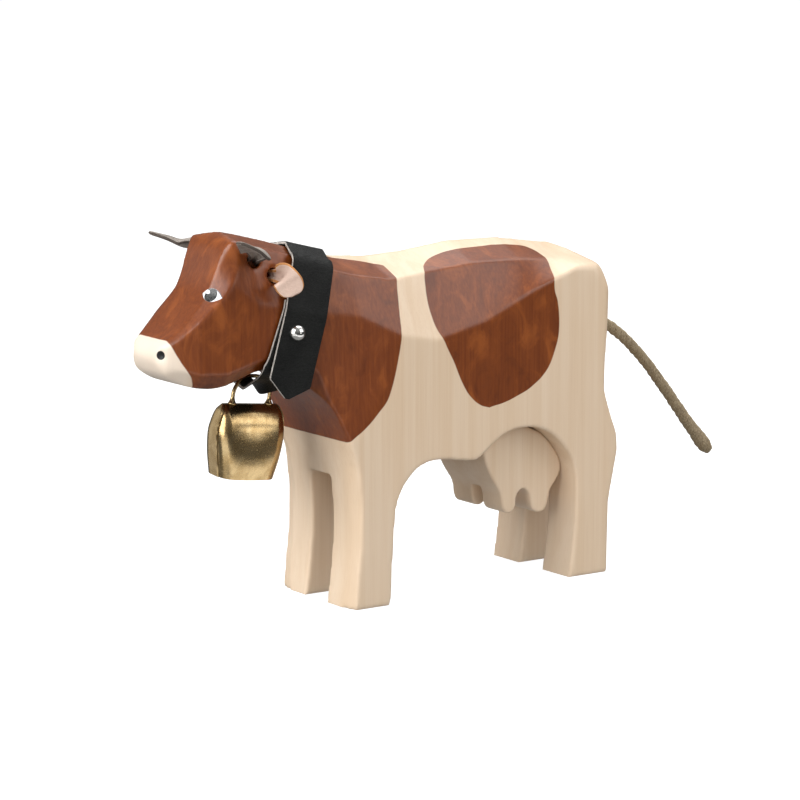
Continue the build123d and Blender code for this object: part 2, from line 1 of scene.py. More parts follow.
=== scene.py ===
"""Carved wooden cow: finished look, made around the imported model. Sizes are millimetres unless named."""
from math import cos, pi, radians, sin

import bmesh
import bpy
import numpy as np
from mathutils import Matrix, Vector


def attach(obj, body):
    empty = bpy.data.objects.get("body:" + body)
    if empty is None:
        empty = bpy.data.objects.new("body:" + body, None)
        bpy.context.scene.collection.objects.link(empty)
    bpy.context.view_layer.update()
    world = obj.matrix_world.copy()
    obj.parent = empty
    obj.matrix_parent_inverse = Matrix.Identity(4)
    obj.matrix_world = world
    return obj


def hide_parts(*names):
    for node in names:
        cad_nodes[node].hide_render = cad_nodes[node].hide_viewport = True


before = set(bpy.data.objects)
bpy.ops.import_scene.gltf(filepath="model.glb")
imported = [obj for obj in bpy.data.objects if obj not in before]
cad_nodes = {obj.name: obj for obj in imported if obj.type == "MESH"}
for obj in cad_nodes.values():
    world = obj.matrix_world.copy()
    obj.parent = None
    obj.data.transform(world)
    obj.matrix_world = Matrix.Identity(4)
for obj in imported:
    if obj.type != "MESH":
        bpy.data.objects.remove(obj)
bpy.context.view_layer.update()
MM = 0.001

# Camera: where it looks, and its turn, rise and distance
look_at = Vector((-11.24, 0, 64.27))
camera_turn = 34.41
camera_rise = 9.28
camera_distance = 1014.06
camera_lens = 135.0
camera_sensor = 36.0


def make_camera():
    """Camera at the photo's view."""
    turn, rise = radians(camera_turn), radians(camera_rise)
    outward = Vector((cos(rise) * sin(turn), cos(rise) * cos(turn), sin(rise)))
    data = bpy.data.cameras.new("camera")
    data.lens = camera_lens
    data.sensor_width = camera_sensor
    data.clip_start = MM
    camera = bpy.data.objects.new("camera", data)
    camera.location = (look_at + outward * camera_distance) * MM
    camera.rotation_euler = outward.to_track_quat("Z", "Y").to_euler()
    bpy.context.collection.objects.link(camera)
    bpy.context.scene.camera = camera


class Shade:
    """A shader socket whose arithmetic adds Math nodes."""

    def __init__(self, paint, socket):
        self.paint = paint
        self.socket = socket

    def math(self, operation, *values):
        return self.paint.node("ShaderNodeMath", {"operation": operation}, dict(enumerate(values)))

    def __add__(self, other):
        return self.math("ADD", self, other)

    __radd__ = __add__

    def __sub__(self, other):
        return self.math("SUBTRACT", self, other)

    def __rsub__(self, other):
        return self.math("SUBTRACT", other, self)

    def __mul__(self, other):
        return self.math("MULTIPLY", self, other)

    __rmul__ = __mul__

    def __truediv__(self, other):
        return self.math("DIVIDE", self, other)

    def __pow__(self, other):
        return self.math("POWER", self, other)

    def __abs__(self):
        return self.math("ABSOLUTE", self)

    def least(self, other):
        return self.math("MINIMUM", self, other)

    def most(self, other):
        return self.math("MAXIMUM", self, other)


class Paint:
    """A material with one Principled shader, and short ways to add nodes to it."""

    def __init__(self, name, **constants):
        self.material = bpy.data.materials.new(name)
        self.material.use_nodes = True
        self.tree = self.material.node_tree
        self.shader = self.tree.nodes["Principled BSDF"]
        for socket, value in constants.items():
            self.shader.inputs[socket.replace("_", " ")].default_value = value

    def node(self, kind, settings=None, sockets=None, out=0):
        made = self.tree.nodes.new(kind)
        for key, value in (settings or {}).items():
            setattr(made, key, value)
        for key, value in (sockets or {}).items():
            if isinstance(value, Shade):
                self.tree.links.new(value.socket, made.inputs[key])
            else:
                made.inputs[key].default_value = value
        return Shade(self, made.outputs[out])

    def feed(self, socket, value):
        self.tree.links.new(value.socket, self.shader.inputs[socket])

    def place(self):
        """Object coordinates in millimetres, as a vector and its three parts."""
        spot = self.node("ShaderNodeTexCoord", out="Object")
        spot = self.node("ShaderNodeVectorMath", {"operation": "SCALE"}, {0: spot, "Scale": 1 / MM})
        return (spot, *(self.node("ShaderNodeSeparateXYZ", None, {0: spot}, axis) for axis in "XYZ"))

    def noise(self, spot, size, detail=3.0, rough=0.55, twist=0.0):
        """Noise whose features have these sizes along X, Y and Z."""
        scale = tuple(1 / each for each in size)
        spot = self.node("ShaderNodeMapping", {"vector_type": "POINT"}, {"Vector": spot, "Scale": scale})
        sockets = {"Vector": spot, "Scale": 1.0, "Detail": detail, "Roughness": rough, "Distortion": twist}
        return self.node("ShaderNodeTexNoise", None, sockets)

    def ramp(self, value, low, high, to_low=0.0, to_high=1.0):
        """Smooth step of a value between two limits."""
        sockets = {0: value, 1: low, 2: high, 3: to_low, 4: to_high}
        return self.node("ShaderNodeMapRange", {"interpolation_type": "SMOOTHSTEP"}, sockets)

    def mix(self, factor, first, second):
        sockets = {"Factor": factor, 6: first, 7: second}
        return self.node("ShaderNodeMix", {"data_type": "RGBA"}, sockets, 2)

    def bump(self, height, depth, strength=1.0):
        sockets = {"Height": height, "Distance": depth * MM, "Strength": strength}
        self.feed("Normal", self.node("ShaderNodeBump", None, sockets))

    def curve(self, value, points, limits):
        """A smooth line through points of value and result."""
        (low, high), (result_low, result_high) = limits
        inward = self.node("ShaderNodeMapRange", None, {0: value, 1: low, 2: high})
        made = self.tree.nodes.new("ShaderNodeFloatCurve")
        line = made.mapping.curves[0].points
        span, rise = high - low, result_high - result_low
        spots = [((a - low) / span, (b - result_low) / rise) for a, b in points]
        line[0].location, line[1].location = spots[0], spots[-1]
        for spot in spots[1:-1]:
            line.new(*spot)
        made.mapping.update()
        self.tree.links.new(inward.socket, made.inputs["Value"])
        return Shade(self, made.outputs[0]) * rise + result_low


def rgb(red, green, blue):
    """Colour from 0 to 255 screen values, as the shader's linear value."""
    parts = [each / 255 for each in (red, green, blue)]
    return (*[c / 12.92 if c <= 0.04045 else ((c + 0.055) / 1.055) ** 2.4 for c in parts], 1.0)


# Stain on the wood. Each edge is a line of X by height, or by height carried over the top.
neck_edge = [
    (50, 27.4), (53.3, 26.6), (56.4, 23.6), (60.3, 18.0), (65, 12.8), (70, 8.6), (76, 6.4),
    (81, 5.0), (87, 3.8), (93, 3.1), (100, 2.4), (105, 1.9), (110, 0.9), (126, 0.0),
]
neck_low_height = 53.2
neck_top_edge = [(0, 22), (1.5, 19.3), (3.2, 12.0), (5.4, 4.5), (8.2, 0.4), (12, 0.0), (30, 0.0)]
muzzle_edge = [
    (70, 74.4), (77, 76.0), (80.5, 77.4), (83.4, 79.3), (87.3, 81.7), (91, 83.6), (93.2, 84.3), (110, 85),
]
patch_front_edge = [
    (60, -45), (63, -31.6), (64, -28.6), (67.5, -24.2), (73, -20.6), (79.5, -17.6), (85, -14.7),
    (91, -11.8), (98.7, -10.2), (109, -9.9), (118.3, -11.3), (124.8, -15), (129.5, -21.6),
    (131.7, -31), (133, -45), (138, -60),
]
patch_back_edge = [
    (60, -25), (63, -33), (63.8, -37.8), (65.7, -43.7), (68.5, -50.1), (73.5, -56.2), (79.4, -59.4),
    (87, -61.4), (96.4, -60.7), (101, -59.4), (107.6, -59.9), (117.6, -61.2), (128, -60.6),
    (131.5, -58), (133, -46), (138, -30),
]
far_patch_shift = 4.5
half_board = 22.5
paint_blur = 0.22

# Painted eye: middle, long axis and short axis on the eye's facet, and its sizes
eye_middle = (68.9, 11.45, 106.8)
eye_along = (-0.386, 0.914, -0.129)
eye_across = (-0.383, -0.033, 0.916)
eye_half_length = 3.95
eye_half_height = 2.3
iris_radius = 2.2
iris_lead = -0.3
far_eye_shift = 2.2
nostril_middle = (86.2, 8.4, 88.7)
nostril_radius = 1.45


def dot(paint, spot, axis):
    return paint.node("ShaderNodeVectorMath", {"operation": "DOT_PRODUCT"}, {0: spot, 1: axis}, "Value")


def offset_from(paint, spot, place):
    return paint.node("ShaderNodeVectorMath", {"operation": "SUBTRACT"}, {0: spot, 1: place})


def round_mask(paint, across, along, radius, blur):
    """One inside a circle of that radius, and 0 outside."""
    return paint.ramp((across**2 + along**2) ** 0.5, radius - blur, radius + blur, 1.0, 0.0)


def stain_mask(paint, spot, x, y, z):
    """One where the wood is stained."""
    wobble = (paint.noise(spot, (7, 7, 7), 2.0) - 0.5) * 0.9
    side = abs(y)
    neck = x - paint.curve(z, neck_edge, ((50, 126), (-5, 25)))
    neck = neck.least(x - paint.curve(side, neck_top_edge, ((0, 30), (-5, 25))))
    neck = neck.least(z - neck_low_height)
    muzzle = paint.curve(z, muzzle_edge, ((70, 110), (70, 90))) - x
    head = neck.least(muzzle) + wobble * 0.5
    far = paint.ramp(y, -1.0, 0.0, far_patch_shift, 0.0)
    girth = z + half_board - side - far
    front = paint.curve(girth, patch_front_edge, ((60, 138), (-65, -5))) - x
    back = x - paint.curve(girth, patch_back_edge, ((60, 138), (-65, -5)))
    patch = front.least(back) + wobble * 0.5
    return paint.ramp(head.most(patch), -paint_blur, paint_blur)


def eye_paint(paint, spot, y, colour):
    """Painted eyes over the wood's colour, and the mask that they cover."""
    near = paint.node("ShaderNodeVectorMath", {"operation": "ABSOLUTE"}, {0: spot})
    arm = offset_from(paint, near, eye_middle)
    along = dot(paint, arm, eye_along) - paint.ramp(y, -1.0, 1.0, far_eye_shift, 0.0)
    across = dot(paint, arm, eye_across)
    depth = dot(paint, arm, tuple(Vector(eye_along).cross(Vector(eye_across))))
    lid = eye_half_height * (1 - (along / eye_half_length) ** 2) - abs(across)
    almond = paint.ramp(lid, -0.05, 0.12) * paint.ramp(abs(depth), 2.5, 3.0, 1.0, 0.0)
    white = paint.mix(almond, colour, rgb(244, 245, 248))
    iris = round_mask(paint, along - iris_lead, across * 0.92, iris_radius, 0.1)
    # Painted highlight: a white spot in the iris's upper front stands in for a reflection of the light on
    # the glossy eye
    shine = round_mask(paint, (along + 1.75) * 0.75, across - 0.75, 0.62, 0.12)
    # Painted reflection: the iris is dark paint, and its lighter grey speckle stands in for the gloss on it
    gloss_speckle = paint.noise(spot, (0.5, 0.5, 0.5), 3.0)
    grey = paint.mix(paint.ramp(gloss_speckle, 0.35, 0.65), rgb(26, 28, 28), rgb(68, 70, 68))
    eye = paint.mix(almond * iris * (1 - shine), white, grey)
    pupil = round_mask(paint, (along - iris_lead) * 0.6, across + 2.2, 0.52, 0.1)
    eye = paint.mix(almond * pupil, eye, rgb(18, 12, 12))
    rim = almond * paint.ramp(lid, 0.22, 0.4, 1.0, 0.0) * paint.ramp(across, -0.4, 0.5)
    eye = paint.mix(rim * paint.ramp(along, -0.4, 1.0), eye, rgb(74, 70, 76))
    return eye, almond


def carved_wood(name, stained):
    """Pale close-grained wood with upright grain, stained and painted where asked."""
    paint = Paint(name, IOR=1.5)
    spot, x, y, z = paint.place()
    fibre = paint.noise(spot, (0.5, 0.5, 30), 4.0, 0.6)
    band = paint.noise(spot, (3.2, 7, 190), 3.0, 0.5, 0.5)
    cloud = paint.noise(spot, (30, 30, 60), 2.0)
    pale = paint.mix(paint.ramp(band, 0.25, 0.75), rgb(230, 207, 180), rgb(223, 196, 165))
    pale = paint.mix(paint.ramp(fibre, 0.45, 0.8) * 0.22, pale, rgb(196, 160, 122))
    pale = paint.mix(paint.ramp(cloud, 0.4, 0.7) * 0.3, pale, rgb(233, 211, 186))
    rough = 0.32 + fibre * 0.14
    height = fibre * 0.5 + band * 0.2
    if not stained:
        paint.feed("Base Color", pale)
        paint.feed("Roughness", rough)
        paint.bump(height, 0.05)
        return paint.material
    mask = stain_mask(paint, spot, x, y, z)
    streak = paint.noise(spot, (0.9, 0.9, 34), 4.0, 0.6, 0.3)
    wash = paint.noise(spot, (11, 11, 17), 5.0, 0.6, 1.4)
    brown = paint.mix(paint.ramp(streak, 0.3, 0.75), rgb(110, 51, 15), rgb(128, 64, 22))
    brown = paint.mix(paint.ramp(wash, 0.48, 0.74) * 0.75, brown, rgb(158, 85, 34))
    brown = paint.mix(paint.ramp(wash, 0.26, 0.46, 1.0, 0.0) * 0.6, brown, rgb(85, 37, 10))
    # Painted highlight: past X 74 mm the pale wood turns whiter towards the muzzle, standing in for the
    # sheen of the front light there
    pale = paint.mix(paint.ramp(x, 74, 80) * 0.65, pale, rgb(240, 227, 212))
    colour = paint.mix(mask, pale, brown)
    colour, eye = eye_paint(paint, spot, y, colour)
    near = paint.node("ShaderNodeVectorMath", {"operation": "ABSOLUTE"}, {0: spot})
    sockets = {0: near, 1: nostril_middle}
    hole = paint.node("ShaderNodeVectorMath", {"operation": "DISTANCE"}, sockets, "Value")
    nostril = paint.ramp(hole, nostril_radius - 0.1, nostril_radius + 0.1, 1.0, 0.0)
    paint.feed("Base Color", paint.mix(nostril, colour, rgb(14, 11, 12)))
    paint.feed("Roughness", (rough - mask * 0.06) * (1 + nostril * 0.5) * (1 - eye * 0.3))
    paint.bump(height + wash * 0.25 * mask, 0.06)
    return paint.material


def leather(name, light, dark, edge=None, grain=0.55, depth=0.09, rough=0.5, sheen=0.5):
    """Grained leather. Edge is the colour where the attribute called raw is 1."""
    paint = Paint(name, Specular_IOR_Level=sheen)
    spot, x, y, z = paint.place()
    cell = {"Vector": spot, "Scale": 1 / grain, "Randomness": 1.0}
    pebble = paint.node("ShaderNodeTexVoronoi", {"feature": "SMOOTH_F1"}, cell)
    crease = paint.noise(spot, (2.6, 2.6, 0.7), 4.0, 0.65, 1.2)
    tone = paint.noise(spot, (9, 9, 9), 3.0)
    colour = paint.mix(paint.ramp(tone, 0.3, 0.7) * 0.6 + paint.ramp(pebble, 0.25, 0.75) * 0.4, dark, light)
    shine = rough + pebble * 0.18
    if edge:
        raw = paint.node("ShaderNodeAttribute", {"attribute_name": "raw"}, None, "Fac")
        raw = paint.ramp(raw, 0.45, 0.55)
        fuzz = paint.noise(spot, (0.3, 0.3, 0.3), 2.0)
        worn = (*(0.72 * each for each in edge[:3]), 1.0)
        colour = paint.mix(raw, colour, paint.mix(fuzz, edge, worn))
        shine = shine + raw * 0.25
    paint.feed("Base Color", colour)
    paint.feed("Roughness", shine)
    folds = paint.ramp(crease, 0.46, 0.54) * 0.8
    paint.bump(pebble * 0.5 + folds, depth)
    return paint.material


def plated(name, light, dark, rough, speck=0.0, seam=None):
    """Soft-shining, slightly uneven metal. Seam is a painted shade colour, laid where the attribute called
    raw is 1.
    """
    paint = Paint(name, Metallic=1.0)
    spot, x, y, z = paint.place()
    cloud = paint.noise(spot, (6, 6, 6), 4.0, 0.6, 0.6)
    fine = paint.noise(spot, (0.6, 0.6, 0.6), 3.0, 0.6)
    colour = paint.mix(paint.ramp(cloud, 0.3, 0.7), light, dark)
    shine = rough + cloud * 0.1 + fine * speck
    if seam:
        # Painted shade: where raw is 1 the colour turns to the dark seam colour, for the shadow in a lapped
        # seam
        raw = paint.node("ShaderNodeAttribute", {"attribute_name": "raw"}, None, "Fac")
        colour = paint.mix(raw, colour, seam)
        shine = shine + raw * 0.3
    paint.feed("Base Color", colour)
    paint.feed("Roughness", shine)
    paint.bump(fine * 0.6 + cloud * 0.8, 0.035)
    return paint.material


def hemp():
    """Grey-brown twisted fibre."""
    paint = Paint("hemp fibre")
    paint.shader.inputs["Specular IOR Level"].default_value = 0.2
    spot, x, y, z = paint.place()
    fine = paint.noise(spot, (0.25, 0.25, 0.9), 4.0, 0.65)
    broad = paint.noise(spot, (4, 4, 4), 3.0)
    colour = paint.mix(paint.ramp(fine, 0.3, 0.7), rgb(104, 88, 66), rgb(192, 174, 144))
    paint.feed("Base Color", paint.mix(paint.ramp(broad, 0.35, 0.7) * 0.45, colour, rgb(150, 131, 102)))
    paint.feed("Roughness", 0.75 + fine * 0.2)
    paint.bump(fine, 0.18)
    return paint.material


def put(name, mesh, body, replaced=()):
    """Puts a finished mesh in the scene on its body."""
    piece = bpy.data.objects.new(name, mesh)
    bpy.context.collection.objects.link(piece)
    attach(piece, body)
    if replaced:
        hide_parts(*replaced)
    return piece


def new_mesh(name, points, faces, materials, raw=None):
    """Mesh from points in millimetres, smooth shaded. Raw holds a value for each point."""
    mesh = bpy.data.meshes.new(name)
    mesh.from_pydata([tuple(float(c) * MM for c in point) for point in points], [], faces)
    for material in materials:
        mesh.materials.append(material)
    mesh.polygons.foreach_set("use_smooth", [True] * len(mesh.polygons))
    if raw is not None:
        layer = mesh.attributes.new("raw", "FLOAT", "POINT")
        layer.data.foreach_set("value", raw)
    mesh.update()
    return mesh


def outward(mesh):
    """Turns all faces of a mesh outward."""
    work = bmesh.new()
    work.from_mesh(mesh)
    bmesh.ops.recalc_face_normals(work, faces=work.faces)
    work.to_mesh(mesh)
    work.free()


def finished(name, mesh, modifiers):
    """Plain mesh that a mesh becomes under a list of modifiers."""
    work = bpy.data.objects.new(name, mesh)
    bpy.context.collection.objects.link(work)
    for kind, settings in modifiers:
        modifier = work.modifiers.new(kind.lower(), kind)
        for key, value in settings.items():
            setattr(modifier, key, value)
    depsgraph = bpy.context.evaluated_depsgraph_get()
    result = bpy.data.meshes.new_from_object(work.evaluated_get(depsgraph), depsgraph=depsgraph)
    bpy.data.objects.remove(work)
    result.name = name
    return result


def eased(mesh, passes, soft_spots):
    """Rounds a mesh's edges by averaging, with more passes round each soft spot."""
    count = len(mesh.vertices)
    spots = np.empty(count * 3)
    mesh.vertices.foreach_get("co", spots)
    spots = spots.reshape(-1, 3)
    ends = np.empty(len(mesh.edges) * 2, int)
    mesh.edges.foreach_get("vertices", ends)
    first, second = ends.reshape(-1, 2).T
    near, far = np.concatenate([first, second]), np.concatenate([second, first])
    degree = np.maximum(np.bincount(near, minlength=count), 1)
    rounds = [(np.ones(count), passes)]
    for place, radius, extra in soft_spots:
        folded = spots / MM
        folded[:, 1] = np.abs(folded[:, 1])
        distance = np.linalg.norm(folded - place, axis=1)
        rounds.append((np.clip(1.4 * (1 - distance / radius), 0, 1), extra))
    for weight, turns in rounds:
        for _ in range(turns):
            sums = [np.bincount(near, spots[far, k], count) for k in range(3)]
            means = np.stack(sums, 1) / degree[:, None]
            spots = spots + 0.5 * weight[:, None] * (means - spots)
    mesh.vertices.foreach_set("co", spots.ravel())
    mesh.update()


def carved_copy(node, name, voxel, passes, soft_spots, material):
    """Copy of a sawn solid with its edges eased by hand."""
    mesh = cad_nodes[node].data.copy()
    work = bmesh.new()
    work.from_mesh(mesh)
    bmesh.ops.remove_doubles(work, verts=work.verts, dist=0.002 * MM)
    work.to_mesh(mesh)
    work.free()
    result = finished(name, mesh, [("REMESH", {"mode": "VOXEL", "voxel_size": voxel * MM})])
    eased(result, passes, soft_spots)
    result.materials.clear()
    result.materials.append(material)
    result.polygons.foreach_set("use_smooth", [True] * len(result.polygons))
    return result


# Easing of the sawn edges: mesh step and passes, and places that are rounded more, with reach and passes
body_step, body_passes = 0.76, 1
udder_step, udder_passes = 0.6, 3
body_soft_spots = [
    ((63.0, 10.5, 124.5), 6.5, 16),
    ((-80.0, 19.0, 111.0), 13.0, 40),
    ((86.0, 9.0, 87.0), 7.0, 14),
    ((84.0, 8.0, 79.0), 8.0, 14),
]


def make_wood():
    """Carved body and udder."""
    wood = carved_wood("stained carved wood", True)
    body = carved_copy("carved_body", "carved_cow", body_step, body_passes, body_soft_spots, wood)
    put("carved_cow", body, "cow", ["carved_body"])
    bare = carved_wood("carved wood", False)
    udder = carved_copy("udder", "carved_udder", udder_step, udder_passes, [], bare)
    put("carved_udder", udder, "cow", ["udder"])


make_camera()

# Hemp tail: the cord's route, thickness, twist, lumps and loose fibres
tail_route = [
    (-73.0, 0, 93.2),
    (-87.5, 0, 89.2),
    (-102.5, 0, 82.3),
    (-115.5, 0, 71.0),
    (-127.5, 0, 57.0),
    (-139.0, 0, 42.6),
    (-147.6, 0, 33.2),
]
tail_strands = 3
tail_pitch = 9.0
tail_strand_offset = 0.5
tail_strand_radius = 1.68
tail_lumps = [(3.5, 0.55), (0.7, 0.22)]
tail_step = 0.3
fibre_density = 1500000.0
fibre_length = 0.5
fibre_radius = 0.04
tail_swell = [(0.0, 1.0), (0.80, 1.0), (0.90, 1.12), (0.955, 1.24), (0.978, 1.08), (1.0, 0.45)]


def tail_line():
    """Points along the smooth line of the tail, in metres."""
    curve = bpy.data.curves.new("tail line", "CURVE")
    curve.dimensions = "3D"
    curve.resolution_u = 24
    spline = curve.splines.new("NURBS")
    spline.points.add(len(tail_route) - 1)
    for point, spot in zip(spline.points, tail_route):
        point.co = (*(Vector(spot) * MM), 1.0)
    spline.order_u = 3
    spline.use_endpoint_u = True
    work = bpy.data.objects.new("tail line", curve)
    bpy.context.collection.objects.link(work)
    depsgraph = bpy.context.evaluated_depsgraph_get()
    line = bpy.data.meshes.new_from_object(work.evaluated_get(depsgraph), depsgraph=depsgraph)
    points = [vertex.co.copy() for vertex in line.vertices]
    bpy.data.objects.remove(work)
    return points


class Tree:
    """A Geometry Nodes tree with named inputs."""

    def __init__(self, name):
        self.group = bpy.data.node_groups.new(name, "GeometryNodeTree")
        self.interface = self.group.interface
        self.interface.new_socket("Geometry", in_out="INPUT", socket_type="NodeSocketGeometry")
        self.interface.new_socket("Geometry", in_out="OUTPUT", socket_type="NodeSocketGeometry")
        self.source = self.group.nodes.new("NodeGroupInput")
        self.sink = self.group.nodes.new("NodeGroupOutput")

    def size(self, name, value, kind="NodeSocketFloat"):
        socket = self.interface.new_socket(name, in_out="INPUT", socket_type=kind)
        socket.default_value = value
        return self.source.outputs[name]

    def node(self, kind, settings=None, sockets=None, out=0):
        made = self.group.nodes.new(kind)
        for key, value in (settings or {}).items():
            setattr(made, key, value)
        for key, value in (sockets or {}).items():
            if isinstance(value, bpy.types.NodeSocket):
                self.group.links.new(value, made.inputs[key])
            else:
                made.inputs[key].default_value = value
        return made.outputs[out]

    def math(self, operation, *values):
        return self.node("ShaderNodeMath", {"operation": operation}, dict(enumerate(values)))

    def vector(self, operation, sockets, out=0):
        return self.node("ShaderNodeVectorMath", {"operation": operation}, sockets, out)

    def finish(self, geometry, material):
        geometry = self.node("GeometryNodeRealizeInstances", None, {0: geometry})
        geometry = self.node("GeometryNodeSetMaterial", None, {"Geometry": geometry, "Material": material})
        self.group.links.new(geometry, self.sink.inputs[0])
        return self.group


def strand_tree(material):
    """Strands laid round a line, each a lumpy twisted tube, swollen at the free end."""
    tree = Tree("twisted strands")
    offset = tree.size("Strand offset", tail_strand_offset * MM)
    radius = tree.size("Strand radius", tail_strand_radius * MM)
    pitch = tree.size("Twist length", tail_pitch * MM)
    line = tree.node("GeometryNodeMeshToCurve", None, {0: tree.source.outputs[0]})
    sockets = {"Curve": line, "Length": tail_step * MM}
    line = tree.node("GeometryNodeResampleCurve", {"mode": "LENGTH"}, sockets)
    along = tree.node("GeometryNodeSplineParameter")
    length = along.node.outputs["Length"]
    swell = tree.group.nodes.new("ShaderNodeFloatCurve")
    marks = swell.mapping.curves[0].points
    scale = max(size for _, size in tail_swell)
    for place, size in tail_swell[1:-1]:
        marks.new(place, size / scale)
    marks[0].location = (0.0, tail_swell[0][1] / scale)
    marks[len(marks) - 1].location = (1.0, tail_swell[-1][1] / scale)
    swell.mapping.update()
    tree.group.links.new(along, swell.inputs["Value"])
    swell = tree.math("MULTIPLY", swell.outputs[0], scale)
    normal = tree.node("GeometryNodeInputNormal")
    tangent = tree.node("GeometryNodeInputTangent")
    other = tree.vector("CROSS_PRODUCT", {0: tangent, 1: normal})
    sockets = {"Resolution": 16, "Radius": radius}
    profile = tree.node("GeometryNodeCurvePrimitiveCircle", None, sockets, "Curve")
    join = tree.group.nodes.new("GeometryNodeJoinGeometry")
    turn = tree.math("MULTIPLY", tree.math("DIVIDE", length, pitch), 2 * pi)
    reach = tree.math("MULTIPLY", offset, swell)
    for strand in range(tail_strands):
        angle = tree.math("ADD", turn, 2 * pi * strand / tail_strands)
        first = tree.vector("SCALE", {0: normal, "Scale": tree.math("COSINE", angle)})
        second = tree.vector("SCALE", {0: other, "Scale": tree.math("SINE", angle)})
        shift = tree.vector("SCALE", {0: tree.vector("ADD", {0: first, 1: second}), "Scale": reach})
        laid = tree.node("GeometryNodeSetPosition", None, {"Geometry": line, "Offset": shift})
        sockets = {"Curve": laid, "Profile Curve": profile, "Scale": swell, "Fill Caps": True}
        tube = tree.node("GeometryNodeCurveToMesh", None, sockets)
        tree.group.links.new(tube, join.inputs[0])
    rope = join.outputs[0]
    spot = tree.node("GeometryNodeInputPosition")
    for size, height in tail_lumps:
        sockets = {"Vector": spot, "Scale": 1 / (size * MM), "Detail": 2.0}
        noise = tree.node("ShaderNodeTexNoise", None, sockets)
        lift = tree.math("MULTIPLY", tree.math("SUBTRACT", noise, 0.5), height * MM)
        shift = tree.vector("SCALE", {0: tree.node("GeometryNodeInputNormal"), "Scale": lift})
        rope = tree.node("GeometryNodeSetPosition", None, {"Geometry": rope, "Offset": shift})
    return tree.finish(rope, material)


def fibre_tree(material):
    """Short loose fibres standing out of a cord."""
    tree = Tree("loose fibres")
    density = tree.size("Fibres to a square metre", fibre_density)
    length = tree.size("Fibre length", fibre_length * MM)
    radius = tree.size("Fibre radius", fibre_radius * MM)
    spread = tree.node(
        "GeometryNodeDistributePointsOnFaces", None,
        {"Mesh": tree.source.outputs[0], "Density": density, "Seed": 7},
    )
    normal = spread.node.outputs["Normal"]
    lean = tree.node(
        "FunctionNodeRandomValue", {"data_type": "FLOAT_VECTOR"},
        {0: (-1.1, -1.1, -1.3), 1: (1.1, 1.1, 0.5), "Seed": 11},
    )
    aim = tree.vector("ADD", {0: normal, 1: lean})
    turn = tree.node("FunctionNodeAlignRotationToVector", {"axis": "Z"}, {"Vector": aim})
    fibre = tree.node(
        "GeometryNodeMeshCone", None,
        {"Vertices": 4, "Radius Top": 0.0, "Radius Bottom": radius, "Depth": length}, "Mesh",
    )
    size = tree.node("FunctionNodeRandomValue", {"data_type": "FLOAT"}, {2: 0.35, 3: 1.0, "Seed": 3}, 1)
    laid = tree.node(
        "GeometryNodeInstanceOnPoints", None,
        {"Points": spread, "Instance": fibre, "Rotation": turn, "Scale": size},
    )
    return tree.finish(laid, material)


def grown(name, mesh, tree):
    """Plain mesh that a Geometry Nodes tree makes from a mesh."""
    return finished(name, mesh, [("NODES", {"node_group": tree})])


def make_tail():
    """Twisted cord in the rump, swollen at its end, with loose fibres."""
    material = hemp()
    points = tail_line()
    line = bpy.data.meshes.new("tail line")
    line.from_pydata(points, [(i, i + 1) for i in range(len(points) - 1)], [])
    cord = grown("tail_rope", line, strand_tree(material))
    cord.polygons.foreach_set("use_smooth", [True] * len(cord.polygons))
    fuzz = grown("tail_fibres", cord.copy(), fibre_tree(material))
    rope = put("tail_rope", cord, "cow", ["tail_cord"])
    fibres = put("tail_fibres", fuzz, "cow")


make_wood()
make_tail()

# Collar plane: crest, tilt, and the strap's middle line as half width and run down from the crest
collar_crest = Vector((32.56, 0, 118.87))
collar_tilt = radians(17.0)
down = Vector((sin(collar_tilt), 0, -cos(collar_tilt)))
ahead = Vector((cos(collar_tilt), 0, sin(collar_tilt)))
strap_line = [
    (19.90, 48.31), (19.16, 20.05), (15.69, 2.64), (0, -1.35), (-14.29, 2.64), (-17.76, 20.05),
    (-18.30, 40.56), (-13.0, 42.98), (0, 45.58), (13.0, 42.98), (18.30, 40.56), (17.76, 20.05),
    (17.24, 17.32),
]
strap_bends = [7.0, 4.0, 7.0, 4.0, 7.0, 7.0, 7.0, 7.0, 7.0, 7.0, 7.0]
strap_step = 0.7
strap_shares = [-0.985, -0.93, -0.6, -0.3, 0, 0.3, 0.6, 0.93, 0.985]
strap_width = 14.6
strap_thickness = 1.3
strap_point_length = 5.0
strap_tip_width = 1.2
strap_arch_width = 7.0
strap_arch_height = 3.0
strap_lead = 1.4
strap_low_lead = 0.8
strap_crest_setback = 5.0
knee_run = 20.05
low_run = 40.56
arris_half_width = 12.64
throat_half_width = 16.77
side_taper = 0.133
crest_taper = 0.041


def rounded_line(points, bends, step):
    """Points along a chain whose corners are arcs, about a step apart."""
    spots = [np.array(point, float) for point in points]
    line = [spots[0]]
    for before, corner, after, bend in zip(spots, spots[1:], spots[2:], bends):
        inward = (before - corner) / np.linalg.norm(before - corner)
        outward = (after - corner) / np.linalg.norm(after - corner)
        half = np.arccos(np.clip(inward @ outward, -1, 1)) / 2
        reach = bend / np.tan(half)
        middle = corner + (inward + outward) / np.linalg.norm(inward + outward) * bend / np.sin(half)
        start = corner + inward * reach - middle
        end = corner + outward * reach - middle
        count = max(3, int(np.ceil(bend * (pi - 2 * half) / step)))
        for share in np.linspace(0, 1, count + 1):
            spoke = start * (1 - share) + end * share
            line.append(middle + spoke / np.linalg.norm(spoke) * bend)
    line.append(spots[-1])
    filled = [line[0]]
    for first, second in zip(line, line[1:]):
        count = max(1, int(np.ceil(np.linalg.norm(second - first) / step)))
        filled += [first + (second - first) * (k + 1) / count for k in range(count)]
    return np.array(filled)


